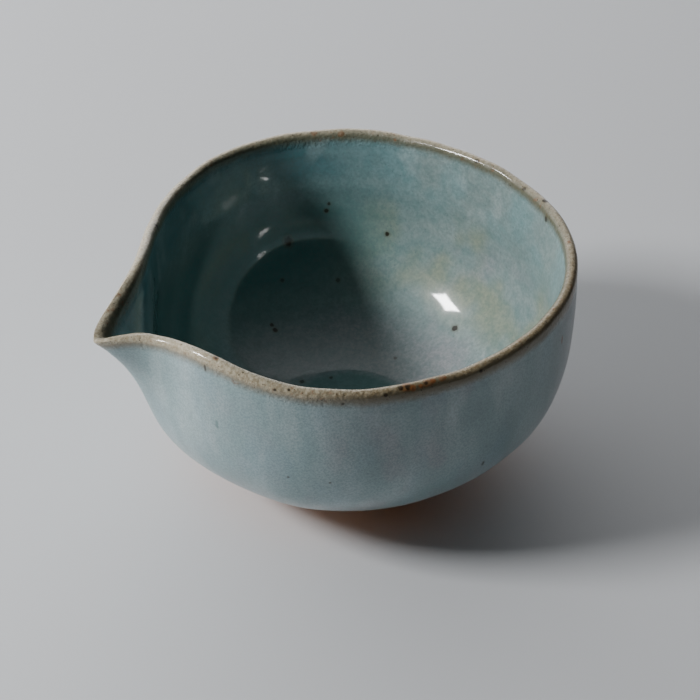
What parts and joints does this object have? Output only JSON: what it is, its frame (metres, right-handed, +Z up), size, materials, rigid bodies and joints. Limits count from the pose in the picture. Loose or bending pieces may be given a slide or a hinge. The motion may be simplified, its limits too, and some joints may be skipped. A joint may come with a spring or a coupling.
{
  "type": "spouted pouring bowl",
  "caption": "Round glazed stoneware bowl with a spout pulled from its rim and a turned foot ring, for holding and pouring tea or sake.",
  "frame": {"origin": "middle of the outer box at its lowest, on the plane that the foot ring stands on", "axes": "+Z up out of the bowl, +X towards the tip of the spout, +Y to the left of the spout seen from the bowl"},
  "size_m": [0.1464, 0.1342, 0.0744],
  "materials": {
    "bare_clay": "unglazed orange-brown stoneware, dry and slightly gritty",
    "outside_glaze": "satin grey-blue celadon with fine mottling and a few iron spots",
    "lip_glaze": "thin beige-brown break over the lip with dark freckles",
    "inside_glaze": "glossy grey-blue celadon, darker where it pools, with olive tints and iron spots"
  },
  "bodies": {
    "root": {"clay_body": "bare_clay", "glaze_outside": "outside_glaze", "glaze_lip": "lip_glaze", "glaze_inside": "inside_glaze"}
  },
  "joints": []
}
